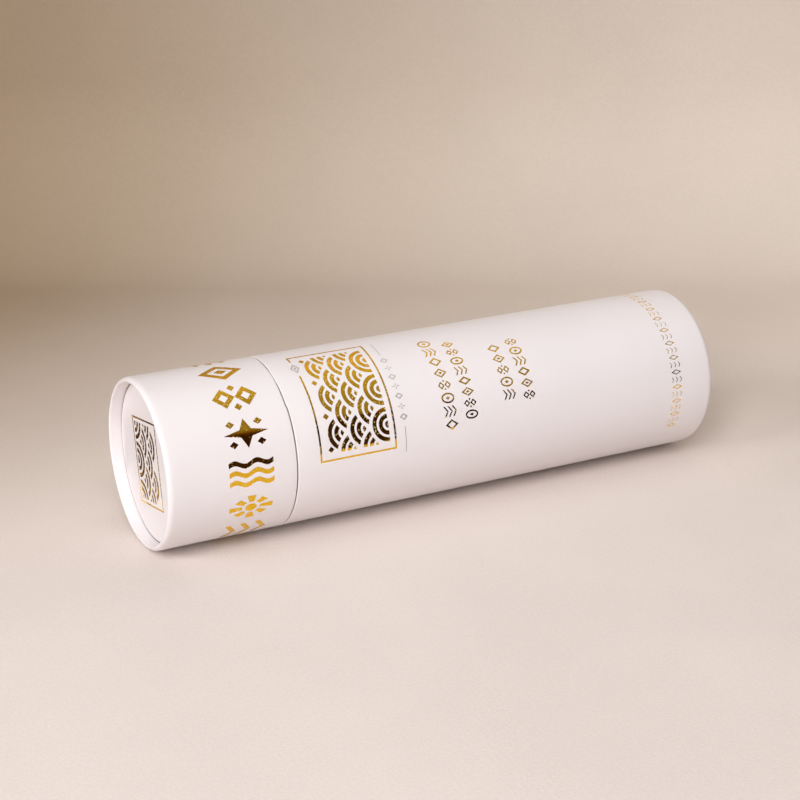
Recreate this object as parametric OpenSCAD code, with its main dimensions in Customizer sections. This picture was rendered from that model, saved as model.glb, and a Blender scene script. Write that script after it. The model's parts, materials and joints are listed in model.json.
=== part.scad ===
// Cylindrical gift tube box: wound board tubes covered with printed paper, a pull-off lid
// on a glued-in neck, and recessed end discs. The tube lies on its side along X with the
// lid at the -X end, and stands on z = 0. Lengths are in millimetres.

/* [Tube] */
// Outside diameter over the printed paper
tube_d = 80; // [60:1:120]
// Overall length with the lid closed
tube_l = 290.6; // [200:0.2:400]
// Length of the lid, from its rim to its open edge
lid_l = 61.2; // [50:0.2:90]
// Gap between lid and body at the closed seam
seam_gap = 0.3; // [0.1:0.05:1]

/* [Board tubes] */
// Wall of the lid's wound board tube
lid_wall_t = 1.85; // [1.5:0.05:3]
// Wall of the neck's wound board tube
neck_wall_t = 1.5; // [1.2:0.05:2.5]
// Running gap between the neck and the inside of the lid
lid_fit = 0.3; // [0.2:0.05:0.5]
// Space between the neck's mouth and the pad inside the lid
neck_clear = 5; // [2:0.5:12]
// Length of neck glued inside the body
neck_in = 45; // [20:1:90]
// Thickness of the glue between the neck and the body's lining
glue_t = 0.05; // [0.02:0.01:0.15]
// Rounding of the neck's mouth
mouth_r = 0.7; // [0.4:0.1:0.8]

/* [Rims and edges] */
// Rounding of each rim's outer corner
rim_r = 1.2; // [0.6:0.1:1.4]
// Rounding of each rim's inner corner
rim_in_r = 0.6; // [0.4:0.1:0.6]
// Rounding of the folded edges that meet at the seam
seam_r = 0.5; // [0.4:0.05:0.8]

/* [End discs] */
// Depth of each disc's face below its rim
recess = 5.8; // [3:0.1:12]
// Thickness of the disc's board
disc_t = 2; // [1.4:0.1:3]
// Gap between the covered disc and the tube around it
disc_gap = 0.2; // [0.1:0.05:0.5]
// Rounding of the covered disc's front edge
disc_r = 0.6; // [0.4:0.1:1]
// Width of the paper that is folded behind the disc
disc_fold = 8; // [4:0.5:15]

/* [Papers] */
// Thickness of the printed paper and of the lining paper
wrap_t = 0.25; // [0.15:0.05:0.4]
// Thickness of the paper on the neck
neck_paper_t = 0.2; // [0.1:0.05:0.3]
// Length of paper turned in over the edge at the seam
seam_hem = 12; // [8:1:20]
// Length of paper turned in over the neck's mouth
mouth_hem = 15; // [8:1:19]
// Length that the rim's turned-in paper runs past the back of the disc
rim_hem_past = 4; // [2:0.5:8]

/* [Foam pads] */
// Thickness of the pad inside the lid
lid_pad_t = 6; // [3:0.5:10]
// Thickness of the pad on the floor of the body
base_pad_t = 8; // [3:0.5:15]
// Gap between each pad and the neck's inner wall
pad_gap = 0.4; // [0.2:0.1:1.5]
// Rounding of the pads' edges
pad_r = 0.8; // [0.3:0.1:1.2]

/* [Hidden] */
$fn = 128;
eps = 0.01;

// Radii, from the outside in
tube_r = tube_d / 2;
wall_or = tube_r - wrap_t;
lid_wall_ir = wall_or - lid_wall_t;
lid_bore_r = lid_wall_ir - wrap_t;
neck_or = lid_bore_r - lid_fit;
neck_wall_or = neck_or - neck_paper_t;
neck_wall_ir = neck_wall_or - neck_wall_t;
mouth_bore_r = neck_wall_ir - neck_paper_t;
body_bore_r = neck_or + glue_t;
body_wall_ir = body_bore_r + wrap_t;
pad_or = mouth_bore_r - pad_gap;

// Stations along the axis, from the lid's rim at zero to the base's rim at tube_l
disc_pack_t = disc_t + 2 * wrap_t;
lid_floor = recess + disc_pack_t;
rim_hem = lid_floor + rim_hem_past;
body_top = lid_l + seam_gap;
body_l = tube_l - body_top;
neck_top = lid_floor + lid_pad_t + neck_clear;
neck_end = body_top + neck_in;

PRINTED = [0.91, 0.88, 0.88];
BOARD = [0.74, 0.69, 0.62];
LINING = [0.93, 0.92, 0.90];
FOAM = [0.95, 0.95, 0.95];

// Puts what is revolved round Z, from z = 0 at the lid's rim, into place along X
module lay_down() {
  translate([-tube_l / 2, 0, tube_r]) rotate([0, 90, 0]) children();
}

// Does the same for what starts from the base's rim and is drawn towards the lid
module lay_down_from_base() {
  translate([tube_l / 2, 0, tube_r]) rotate([0, -90, 0]) children();
}

// Takes a round corner of radius c off at [r, z]; sr and sz point into the section
module corner_cut(r, z, sr, sz, c) {
  if (c > eps)
    difference() {
      translate([sr > 0 ? r - eps : r - c, sz > 0 ? z - eps : z - c]) square(c + eps);
      translate([r + sr * c, z + sz * c]) circle(c);
    }
}

// Half section from [r0, z0] to [r1, z1]; the corner radii start there and run anticlockwise
module section(r0, r1, z0, z1, c) {
  difference() {
    translate([r0, z0]) square([r1 - r0, z1 - z0]);
    corner_cut(r0, z0, 1, 1, c[0]);
    corner_cut(r1, z0, -1, 1, c[1]);
    corner_cut(r1, z1, -1, -1, c[2]);
    corner_cut(r0, z1, 1, -1, c[3]);
  }
}

// Corner radii of a folded tube end to end, less the paper where the board is meant
function folded_corners(less) = [
  max(rim_in_r - less, 0), max(rim_r - less, 0), max(seam_r - less, 0), max(seam_r - less, 0),
];

// Board tube of length l and inner radius ir, inside its paper at both ends
module board_section(ir, l) {
  section(ir, wall_or, wrap_t, l - wrap_t, folded_corners(wrap_t));
}

// Paper that covers a board tube, rolls over both its ends and runs a hem down the inside
module wrap_section(ir, l) {
  difference() {
    section(ir - wrap_t, tube_r, 0, l, folded_corners(0));
    board_section(ir, l);
    translate([ir - 2 * wrap_t, rim_hem]) square([2 * wrap_t, l - seam_hem - rim_hem]);
  }
}

// Lining paper between the two hems, flush with them
module lining_section(ir, l) {
  translate([ir - wrap_t, rim_hem]) square([wrap_t, l - seam_hem - rim_hem]);
}

// Board disc of an end, inside a bore of radius bore_r
module disc_board_section(bore_r) {
  section(0, bore_r - disc_gap - wrap_t, recess + wrap_t, recess + wrap_t + disc_t,
    [0, max(disc_r - wrap_t, 0), 0, 0]);
}

// Paper over the disc's face, round its edge and folded behind it
module disc_paper_section(bore_r) {
  covered_r = bore_r - disc_gap;
  difference() {
    section(0, covered_r, recess, lid_floor, [0, disc_r, wrap_t, 0]);
    disc_board_section(bore_r);
    translate([-eps, lid_floor - wrap_t]) square([covered_r - disc_fold + eps, wrap_t + eps]);
  }
}

// Lining disc behind the board disc, inside the folded paper
module disc_lining_section(bore_r) {
  translate([0, lid_floor - wrap_t]) square([bore_r - disc_gap - disc_fold, wrap_t]);
}

// Foam pad on the back of an end disc
module pad_section(t) {
  section(0, pad_or, lid_floor, lid_floor + t, [0, pad_r, pad_r, 0]);
}

module lid_wrap() {
  color(PRINTED) lay_down() rotate_extrude() wrap_section(lid_wall_ir, lid_l);
}

module lid_wall() {
  color(BOARD) lay_down() rotate_extrude() board_section(lid_wall_ir, lid_l);
}

module lid_lining() {
  color(LINING) lay_down() rotate_extrude() lining_section(lid_wall_ir, lid_l);
}

module lid_end_paper() {
  color(PRINTED) lay_down() rotate_extrude() disc_paper_section(lid_bore_r);
}

module lid_end_board() {
  color(BOARD) lay_down() rotate_extrude() disc_board_section(lid_bore_r);
}

module lid_end_lining() {
  color(LINING) lay_down() rotate_extrude() disc_lining_section(lid_bore_r);
}

module lid_pad() {
  color(FOAM) lay_down() rotate_extrude() pad_section(lid_pad_t);
}

module body_wrap() {
  color(PRINTED) lay_down_from_base() rotate_extrude() wrap_section(body_wall_ir, body_l);
}

module body_wall() {
  color(BOARD) lay_down_from_base() rotate_extrude() board_section(body_wall_ir, body_l);
}

module body_lining() {
  color(LINING) lay_down_from_base() rotate_extrude() lining_section(body_wall_ir, body_l);
}

// Board tube of the neck, inside its paper at the mouth
module neck_wall() {
  corner = max(mouth_r - neck_paper_t, 0);
  color(BOARD) lay_down() rotate_extrude()
    section(neck_wall_ir, neck_wall_or, neck_top + neck_paper_t, neck_end, [corner, corner, 0, 0]);
}

// Paper on the outside of the neck, rolled over its mouth and hemmed inside
module neck_paper() {
  corner = max(mouth_r - neck_paper_t, 0);
  inside = neck_top + mouth_hem;
  color(LINING) lay_down() rotate_extrude()
    difference() {
      section(mouth_bore_r, neck_or, neck_top, neck_end, [mouth_r, mouth_r, 0, 0]);
      section(neck_wall_ir, neck_wall_or, neck_top + neck_paper_t, neck_end + eps,
        [corner, corner, 0, 0]);
      translate([mouth_bore_r - eps, inside])
        square([neck_paper_t + 2 * eps, neck_end - inside + eps]);
    }
}

module base_end_paper() {
  color(PRINTED) lay_down_from_base() rotate_extrude() disc_paper_section(body_bore_r);
}

module base_end_board() {
  color(BOARD) lay_down_from_base() rotate_extrude() disc_board_section(body_bore_r);
}

module base_end_lining() {
  color(LINING) lay_down_from_base() rotate_extrude() disc_lining_section(body_bore_r);
}

module base_pad() {
  color(FOAM) lay_down_from_base() rotate_extrude() pad_section(base_pad_t);
}

lid_wrap();
lid_wall();
lid_lining();
lid_end_paper();
lid_end_board();
lid_end_lining();
lid_pad();
body_wrap();
body_wall();
body_lining();
neck_paper();
neck_wall();
base_end_paper();
base_end_board();
base_end_lining();
base_pad();
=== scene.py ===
# Cylindrical gift tube box: the printed papers, foam pads, foil and ink round the CAD frame,
# with their finishes, the camera, a pale sweep with painted shade, cards and an arch for painted
# reflections, and soft light. Lengths are in metres.
import json
import math
import bmesh
import bpy
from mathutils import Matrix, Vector

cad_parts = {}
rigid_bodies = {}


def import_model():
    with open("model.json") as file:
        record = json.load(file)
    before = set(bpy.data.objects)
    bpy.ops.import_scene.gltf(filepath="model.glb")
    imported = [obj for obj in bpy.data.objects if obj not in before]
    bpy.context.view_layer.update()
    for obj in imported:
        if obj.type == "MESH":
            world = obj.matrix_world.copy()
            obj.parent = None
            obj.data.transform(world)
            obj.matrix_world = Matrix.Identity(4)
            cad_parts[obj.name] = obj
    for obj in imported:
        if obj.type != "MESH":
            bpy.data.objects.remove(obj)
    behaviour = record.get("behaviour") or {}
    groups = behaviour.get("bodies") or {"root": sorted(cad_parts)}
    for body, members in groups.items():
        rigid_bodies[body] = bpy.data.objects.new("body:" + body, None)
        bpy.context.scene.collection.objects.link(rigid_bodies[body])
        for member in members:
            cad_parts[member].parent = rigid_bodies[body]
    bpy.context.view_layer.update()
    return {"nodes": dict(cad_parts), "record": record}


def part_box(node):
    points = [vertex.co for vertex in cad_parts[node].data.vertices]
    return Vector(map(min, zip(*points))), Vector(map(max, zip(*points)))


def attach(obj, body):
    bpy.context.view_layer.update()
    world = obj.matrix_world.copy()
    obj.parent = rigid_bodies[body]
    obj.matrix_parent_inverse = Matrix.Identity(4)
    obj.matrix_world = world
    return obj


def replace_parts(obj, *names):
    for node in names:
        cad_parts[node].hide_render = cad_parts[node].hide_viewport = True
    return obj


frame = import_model()

# Sizes read from the frame
MM = 0.001
LID_LO, LID_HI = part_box("lid_wrap")
BODY_LO, BODY_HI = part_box("body_wrap")
NECK_LO, NECK_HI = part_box("neck_paper")
AXIS_Z = (LID_LO.z + LID_HI.z) / 2
TUBE_R = (LID_HI.z - LID_LO.z) / 2
RIM_X = LID_LO.x

# Sizes of the papers and edges, as the solids have them
WRAP_T = 0.25 * MM
NECK_PAPER_T = 0.2 * MM
NECK_WALL_T = 1.5 * MM
RIM_R = 1.6 * MM
RIM_ROLL = 2.8 * MM
RIM_IN_R = 0.7 * MM
SEAM_R = 0.5 * MM
MOUTH_R = 0.7 * MM
DISC_R = 0.6 * MM
DISC_FOLD = 8 * MM
RIM_HEM = 12.3 * MM
SEAM_HEM = 12 * MM
MOUTH_HEM = 15 * MM

# The lap where the printed paper's ends meet, at the back
LAP_ANGLE = math.radians(173)
LAP_WIDTH = math.radians(15)
LAP_T = 0.14 * MM

# How the folded edges at the seam stand open, wander and nearly meet, by the angle round the tube
SEAM_REACH = 1.2 * MM
SEAM_OPEN = 0.09 * MM
SEAM_WAVE = 0.05 * MM
SEAM_PINCH_AT = math.radians(68)
SEAM_PINCH_WIDTH = math.radians(8)
SEAM_PINCH = 0.17 * MM
SEAM_KINK_AT = math.radians(43)
SEAM_KINK_WIDTH = math.radians(1.8)
SEAM_KINK = 0.35 * MM

# How much painted shade darkens the paper in the seam and beside the discs, and half the width of the
# ring of painted shade on the neck
SEAM_PAINTED_SHADE = 0.55
DISC_PAINTED_SHADE = 0.9
SEAM_RING = 0.6 * MM

# Fineness of the turned pieces and of the print
TURN_STEPS = 360
ARC_STEPS = 8
PRINT_STEP = 0.9 * MM
FOIL_T = 0.03 * MM
FOIL_SUNK = 0.01 * MM

# The print, in millimetres: the framed panel (x from, x to, s from, s to), its scales' gap, the
# pale margin inside its frame, and the centre, half sizes and tilt of the mark on the lid's end
BAND_COUNT = 14
PANEL = (72.8, 111.6, 1.3, 59.7)
PANEL_LINE = 0.9
PANEL_BREAK = (44.6, 55.2)
SCALE_GAP = 0.55
END_MARK_Y = 2.3
END_MARK_Z = -1.35
END_MARK_HALF = (20.5, 15.15)
END_MARK_TURN = 10.5


def station(mm):
    """Place along X of a distance in millimetres from the lid's rim."""
    return RIM_X + mm * MM


def radius_of(node):
    """Outer radius of a node that is turned round the tube's axis."""
    lo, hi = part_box(node)
    return (hi.z - lo.z) / 2


# Node helpers

class Graph:
    """Short calls that add and join nodes in one node tree."""

    def __init__(self, tree):
        self.tree = tree
        self.column = 0

    def add(self, kind, inputs=None, **settings):
        node = self.tree.nodes.new(kind)
        self.column += 1
        node.location = (180 * self.column, 0)
        for key, value in settings.items():
            setattr(node, key, value)
        for key, value in (inputs or {}).items():
            self.feed(value, node.inputs[key])
        return node

    def feed(self, value, socket):
        if isinstance(value, bpy.types.NodeSocket):
            self.tree.links.new(value, socket)
        else:
            socket.default_value = value

    def math(self, operation, a, b=0.0, clamp=False):
        node = self.add("ShaderNodeMath", {0: a, 1: b}, operation=operation, use_clamp=clamp)
        return node.outputs[0]

    def spread(self, value, low, high, to_low=0.0, to_high=1.0):
        """Maps low..high smoothly to to_low..to_high."""
        node = self.add("ShaderNodeMapRange", {
            "Value": value, "From Min": low, "From Max": high, "To Min": to_low, "To Max": to_high,
        }, interpolation_type="SMOOTHSTEP")
        return node.outputs["Result"]

    def mix(self, factor, a, b):
        node = self.add("ShaderNodeMix", {"Factor": factor, 6: a, 7: b}, data_type="RGBA")
        return node.outputs[2]

    def noise(self, vector, scale, detail=2.0, roughness=0.5):
        node = self.add("ShaderNodeTexNoise", {
            "Vector": vector, "Scale": scale, "Detail": detail, "Roughness": roughness,
        })
        return node.outputs["Fac"]


def new_group(name, inputs, outputs):
    """A shader node group with named sockets; inputs are (name, kind, default)."""
    tree = bpy.data.node_groups.new(name, "ShaderNodeTree")
    for label, kind, default in inputs:
        socket = tree.interface.new_socket(label, in_out="INPUT", socket_type="NodeSocket" + kind)
        socket.default_value = default
    for label, kind in outputs:
        tree.interface.new_socket(label, in_out="OUTPUT", socket_type="NodeSocket" + kind)
    graph = Graph(tree)
    entry = tree.nodes.new("NodeGroupInput").outputs
    leave = tree.nodes.new("NodeGroupOutput").inputs
    return tree, graph, entry, leave


def stretched(graph, vector, along):
    """Object coordinates drawn out along X, for grain that lies along the tube."""
    return graph.add("ShaderNodeMapping", {"Vector": vector, "Scale": (along, 1, 1)}).outputs[0]


def paper_fibre_group():
    """Fibres and fine tooth of paper or board: a height, and a mask of small flecks."""
    tree, g, entry, leave = new_group(
        "paper_fibre",
        [("Fineness", "Float", 1.0), ("Flecks", "Float", 0.5)],
        [("Height", "Float"), ("Fleck", "Float")],
    )
    where = g.add("ShaderNodeTexCoord").outputs["Object"]
    scaled = g.add("ShaderNodeVectorMath", {0: where, "Scale": entry["Fineness"]},
                   operation="SCALE").outputs[0]
    tooth = g.noise(scaled, 2600, 3, 0.6)
    fibre = g.noise(stretched(g, scaled, 0.3), 1500, 2)
    sheet = g.noise(scaled, 120, 2)
    both = g.math("ADD", g.math("MULTIPLY", tooth, 0.5), g.math("MULTIPLY", fibre, 0.5))
    g.feed(g.math("ADD", both, sheet), leave["Height"])
    spots = g.noise(scaled, 900, 1)
    limit = g.math("SUBTRACT", 0.86, g.math("MULTIPLY", entry["Flecks"], 0.14))
    rise = g.math("MULTIPLY", g.math("SUBTRACT", spots, limit), 18, clamp=True)
    g.feed(rise, leave["Fleck"])
    return tree


def cloudy_tint_group():
    """A slow, uneven drift from one colour to another over the surface."""
    tree, g, entry, leave = new_group(
        "cloudy_tint",
        [("Color", "Color", (1, 1, 1, 1)), ("Tint", "Color", (1, 1, 1, 1)),
         ("Scale", "Float", 20.0), ("Amount", "Float", 0.5)],
        [("Color", "Color")],
    )
    where = g.add("ShaderNodeTexCoord").outputs["Object"]
    cloud = g.spread(g.noise(where, entry["Scale"], 3, 0.55), 0.35, 0.65)
    g.feed(g.mix(g.math("MULTIPLY", cloud, entry["Amount"]), entry["Color"], entry["Tint"]),
           leave["Color"])
    return tree


def edge_wear_group():
    """Mask of rubbed paper near the rims and the seam, broken up by noise."""
    tree, g, entry, leave = new_group(
        "edge_wear",
        [("Reach", "Float", 0.0012), ("Amount", "Float", 0.6)],
        [("Mask", "Float")],
    )
    where = g.add("ShaderNodeTexCoord").outputs["Object"]
    x = g.add("ShaderNodeSeparateXYZ", {"Vector": where}).outputs["X"]
    total = None
    for edge in (LID_LO.x, LID_HI.x, BODY_LO.x, BODY_HI.x):
        away = g.math("ABSOLUTE", g.math("SUBTRACT", x, edge))
        near = g.math("SUBTRACT", 1, g.math("DIVIDE", away, entry["Reach"]), clamp=True)
        total = near if total is None else g.math("MAXIMUM", total, near)
    rub = g.spread(g.noise(where, 260, 3, 0.65), 0.42, 0.72)
    g.feed(g.math("MULTIPLY", g.math("MULTIPLY", total, rub), entry["Amount"]), leave["Mask"])
    return tree


def crevice_shade_group():
    """Paints shade: darkens a colour where the mesh says that two papers meet."""
    tree, g, entry, leave = new_group(
        "crevice_shade",
        [("Color", "Color", (1, 1, 1, 1)), ("Dark", "Color", (0.07, 0.055, 0.05, 1))],
        [("Color", "Color")],
    )
    # Painted shade: the mesh's crevice value mixes in the dark colour.
    depth = g.add("ShaderNodeAttribute", attribute_name="crevice").outputs["Fac"]
    g.feed(g.mix(depth, entry["Color"], entry["Dark"]), leave["Color"])
    return tree


GROUPS = {
    "fibre": paper_fibre_group(),
    "tint": cloudy_tint_group(),
    "wear": edge_wear_group(),
    "crevice": crevice_shade_group(),
}


def use_group(graph, name, **values):
    """Places a shared group in a material with its own values."""
    node = graph.add("ShaderNodeGroup", node_tree=GROUPS[name])
    for key, value in values.items():
        graph.feed(value, node.inputs[key.replace("_", " ")])
    return node.outputs


def new_material(name, **constants):
    """A material with one Principled BSDF whose plain numbers are set on its own sockets."""
    material = bpy.data.materials.new(name)
    material.use_nodes = True
    tree = material.node_tree
    shader = tree.nodes["Principled BSDF"]
    for key, value in constants.items():
        shader.inputs[key.replace("_", " ")].default_value = value
    return material, Graph(tree), shader


def bump(graph, shader, height, distance, strength=1.0):
    node = graph.add("ShaderNodeBump", {
        "Strength": strength, "Distance": distance, "Height": height,
    })
    graph.feed(node.outputs["Normal"], shader.inputs["Normal"])


# Finishes

def printed_paper():
    """Satin laminated white paper, a little rubbed at the rims."""
    material, g, shader = new_material(
        "printed_paper_satin", Coat_Weight=0.12, Coat_Roughness=0.22, Specular_IOR_Level=0.4)
    fibre = use_group(g, "fibre", Fineness=1.0, Flecks=0.25)
    cloud = use_group(g, "tint", Color=(0.85, 0.80, 0.815, 1), Tint=(0.82, 0.775, 0.79, 1),
                      Scale=14.0, Amount=0.6)
    wear = use_group(g, "wear", Reach=0.0016, Amount=0.15)
    specks = g.mix(g.math("MULTIPLY", fibre["Fleck"], 0.25), cloud["Color"], (0.62, 0.55, 0.52, 1))
    worn = g.mix(wear["Mask"], specks, (0.74, 0.68, 0.66, 1))
    # Painted shade darkens the paper in the seam and beside the end disc.
    g.feed(use_group(g, "crevice", Color=worn)["Color"], shader.inputs["Base Color"])
    rough = g.math("ADD", 0.36, g.math("MULTIPLY", fibre["Height"], 0.05))
    g.feed(g.math("ADD", rough, g.math("MULTIPLY", wear["Mask"], 0.3)), shader.inputs["Roughness"])
    bump(g, shader, fibre["Height"], 0.012 * MM)
    return material


def lining_paper():
    """Uncoated white paper with soft fibres."""
    material, g, shader = new_material("lining_paper_uncoated", Specular_IOR_Level=0.3)
    fibre = use_group(g, "fibre", Fineness=0.7, Flecks=0.6)
    cloud = use_group(g, "tint", Color=(0.85, 0.82, 0.80, 1), Tint=(0.79, 0.755, 0.73, 1),
                      Scale=30.0, Amount=0.7)
    flecked = g.mix(g.math("MULTIPLY", fibre["Fleck"], 0.4), cloud["Color"], (0.58, 0.52, 0.45, 1))
    # Painted shade darkens the neck's paper in a ring under the seam.
    g.feed(use_group(g, "crevice", Color=flecked)["Color"], shader.inputs["Base Color"])
    g.feed(g.math("ADD", 0.62, g.math("MULTIPLY", fibre["Height"], 0.1)),
           shader.inputs["Roughness"])
    bump(g, shader, fibre["Height"], 0.03 * MM)
    return material


def grey_board():
    """Wound recycled board: grey-brown, fibrous, with dark and pale flecks."""
    material, g, shader = new_material("grey_board_wound", Specular_IOR_Level=0.2)
    fibre = use_group(g, "fibre", Fineness=0.45, Flecks=1.0)
    cloud = use_group(g, "tint", Color=(0.50, 0.43, 0.34, 1), Tint=(0.38, 0.32, 0.25, 1),
                      Scale=55.0, Amount=0.9)
    g.feed(g.mix(g.math("MULTIPLY", fibre["Fleck"], 0.7), cloud["Color"], (0.18, 0.14, 0.11, 1)),
           shader.inputs["Base Color"])
    g.feed(g.math("ADD", 0.75, g.math("MULTIPLY", fibre["Height"], 0.08)),
           shader.inputs["Roughness"])
    bump(g, shader, fibre["Height"], 0.08 * MM)
    return material


def white_foam():
    """Closed-cell foam with fine open cells on its cut faces, painted darker in the cells' hollows as
    painted shade.
    """
    material, g, shader = new_material("white_foam_cells", Specular_IOR_Level=0.25)
    where = g.add("ShaderNodeTexCoord").outputs["Object"]
    cells = g.add("ShaderNodeTexVoronoi", {"Vector": where, "Scale": 1400.0}).outputs["Distance"]
    pores = g.spread(cells, 0.1, 0.55)
    cloud = use_group(g, "tint", Color=(0.87, 0.86, 0.85, 1), Tint=(0.80, 0.79, 0.78, 1),
                      Scale=60.0, Amount=0.6)
    # Painted shade: the hollows of the cells are painted grey.
    g.feed(g.mix(g.math("SUBTRACT", 1, pores), cloud["Color"], (0.62, 0.61, 0.60, 1)),
           shader.inputs["Base Color"])
    g.feed(g.math("ADD", 0.7, g.math("MULTIPLY", pores, 0.15)), shader.inputs["Roughness"])
    bump(g, shader, pores, 0.12 * MM)
    return material


def gold_foil():
    """Hot-stamped foil: smooth metal with scattered dull pimples where the paper shows through."""
    material, g, shader = new_material("gold_foil_stamped")
    fibre = use_group(g, "fibre", Fineness=0.8, Flecks=1.0)
    cloud = use_group(g, "tint", Color=(0.92, 0.57, 0.032, 1), Tint=(0.87, 0.525, 0.026, 1),
                      Scale=90.0, Amount=0.8)
    where = g.add("ShaderNodeTexCoord").outputs["Object"]
    cells = g.add("ShaderNodeTexVoronoi", {"Vector": where, "Scale": 1150.0}).outputs
    dots = g.spread(cells["Distance"], 0.22, 0.38, 1.0, 0.0)
    picked = g.spread(g.add("ShaderNodeSeparateColor", {"Color": cells["Color"]}).outputs[0], 0.4, 0.5)
    patches = g.spread(g.noise(where, 260, 2), 0.38, 0.52)
    pimples = g.math("MULTIPLY", g.math("MULTIPLY", dots, picked), patches)
    g.feed(g.math("SUBTRACT", 1.0, g.math("MULTIPLY", pimples, 0.75)), shader.inputs["Metallic"])
    g.feed(g.mix(pimples, cloud["Color"], (0.95, 0.72, 0.30, 1)), shader.inputs["Base Color"])
    g.feed(g.math("ADD", 0.075, g.math("MULTIPLY", pimples, 0.6)), shader.inputs["Roughness"])
    bump(g, shader, g.math("ADD", fibre["Height"], g.math("MULTIPLY", pimples, 3.0)), 0.006 * MM)
    return material


def silver_ink():
    """Pale silver-grey ink, half metallic."""
    material, g, shader = new_material("silver_ink_pale")
    fibre = use_group(g, "fibre", Fineness=0.8, Flecks=0.8)
    cloud = use_group(g, "tint", Color=(0.56, 0.53, 0.52, 1), Tint=(0.48, 0.45, 0.44, 1),
                      Scale=90.0, Amount=0.8)
    g.feed(0.55, shader.inputs["Metallic"])
    g.feed(cloud["Color"], shader.inputs["Base Color"])
    g.feed(g.math("ADD", 0.32, g.math("MULTIPLY", fibre["Fleck"], 0.2)),
           shader.inputs["Roughness"])
    bump(g, shader, fibre["Height"], 0.008 * MM)
    return material


FINISH = {
    "printed_paper": printed_paper(),
    "lining_paper": lining_paper(),
    "board": grey_board(),
    "foam": white_foam(),
    "gold_foil": gold_foil(),
    "silver_ink": silver_ink(),
}


# Meshes

def add_piece(name, mesh, finish, body, sharp=35):
    """A finished piece at the origin: smooth faces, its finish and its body."""
    for polygon in mesh.polygons:
        polygon.use_smooth = True
    mesh.set_sharp_from_angle(angle=math.radians(sharp))
    mesh.materials.clear()
    mesh.materials.append(FINISH[finish])
    piece = bpy.data.objects.new(name, mesh)
    bpy.context.scene.collection.objects.link(piece)
    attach(piece, body)
    return piece


def corner(x, r, size, start, end, along=None):
    """Points (x, r) of a round corner about a centre, from one angle in degrees to another.

    size is its radius across the tube, and along its radius along X where that is another.
    """
    turn = [math.radians(start + (end - start) * i / ARC_STEPS) for i in range(ARC_STEPS + 1)]
    return [(x + (along or size) * math.cos(a), r + size * math.sin(a)) for a in turn]


def straight(start, end, steps):
    """Points between two places, without the first."""
    return [(start[0] + (end[0] - start[0]) * i / steps, start[1] + (end[1] - start[1]) * i / steps)
            for i in range(1, steps + 1)]


def turned(name, outline, lap=None, inner_lap=None, shift=None, crevice=None):
    """Mesh of a closed outline of (x, r) points turned round the tube's axis.

    Where lap is (angle, width, thickness), points near the outside stand out by the thickness
    at the angle and come back to the round over the width, as a sheet does that ends on itself;
    inner_lap(x) says how much of it the inside takes. shift(x, phi) moves points along X, and
    crevice(x, r) says how much painted shade darkens a point that lies between two papers.
    """
    angle, width, thickness = lap or (0.0, 1.0, 0.0)
    outside = max(r for _, r in outline)
    inside = min(r for _, r in outline)
    turns = TURN_STEPS + (1 if lap else 0)
    mesh = bmesh.new()
    depth = mesh.verts.layers.float.new("crevice")
    rings = []
    for i in range(turns):
        turn = 2 * math.pi * i / TURN_STEPS
        rise = thickness * max(0.0, 1 - turn / width)
        phi = angle + turn
        ring = []
        for x, r in outline:
            share = (r - inside) / (outside - inside) if outside > inside else 0
            out = r + rise * max(0.0, share * 2 - 1)
            if inner_lap:
                out -= rise * inner_lap(x) * max(0.0, 1 - share * 2)
            along = x + (shift(x, phi) if shift else 0.0)
            vert = mesh.verts.new((along, -out * math.cos(phi), AXIS_Z + out * math.sin(phi)))
            vert[depth] = crevice(x, r) if crevice else 0.0
            ring.append(vert)
        rings.append(ring)
    for i in range(turns):
        here, there = rings[i], rings[(i + 1) % turns]
        for j in range(len(outline)):
            k = (j + 1) % len(outline)
            mesh.faces.new((here[j], here[k], there[k], there[j]))
    bmesh.ops.remove_doubles(mesh, verts=mesh.verts, dist=1e-7)
    bmesh.ops.dissolve_degenerate(mesh, dist=1e-8, edges=mesh.edges)
    bmesh.ops.recalc_face_normals(mesh, faces=mesh.faces)
    data = bpy.data.meshes.new(name)
    mesh.to_mesh(data)
    mesh.free()
    return data


def smooth_step(value, low, high):
    t = min(1.0, max(0.0, (value - low) / (high - low)))
    return t * t * (3 - 2 * t)


def seam_shift(edge_x, way):
    """How far the folded edge at edge_x is from its true place; way is +1 for the lid's."""

    def shift(x, phi):
        if abs(x - edge_x) > SEAM_REACH:
            return 0.0
        phi = phi % (2 * math.pi)
        wave = 0.6 * math.sin(3 * phi + 0.6) + 0.4 * math.sin(7 * phi + 2.0)
        pinch = SEAM_PINCH * math.exp(-(((phi - SEAM_PINCH_AT) / SEAM_PINCH_WIDTH) ** 2))
        past = smooth_step(phi, SEAM_KINK_AT - SEAM_KINK_WIDTH, SEAM_KINK_AT + SEAM_KINK_WIDTH)
        kink = SEAM_KINK * (0.5 - past * smooth_step(math.pi - phi, 0.0, 1.0))
        return SEAM_WAVE * wave + way * (pinch - SEAM_OPEN) + kink

    return shift


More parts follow.
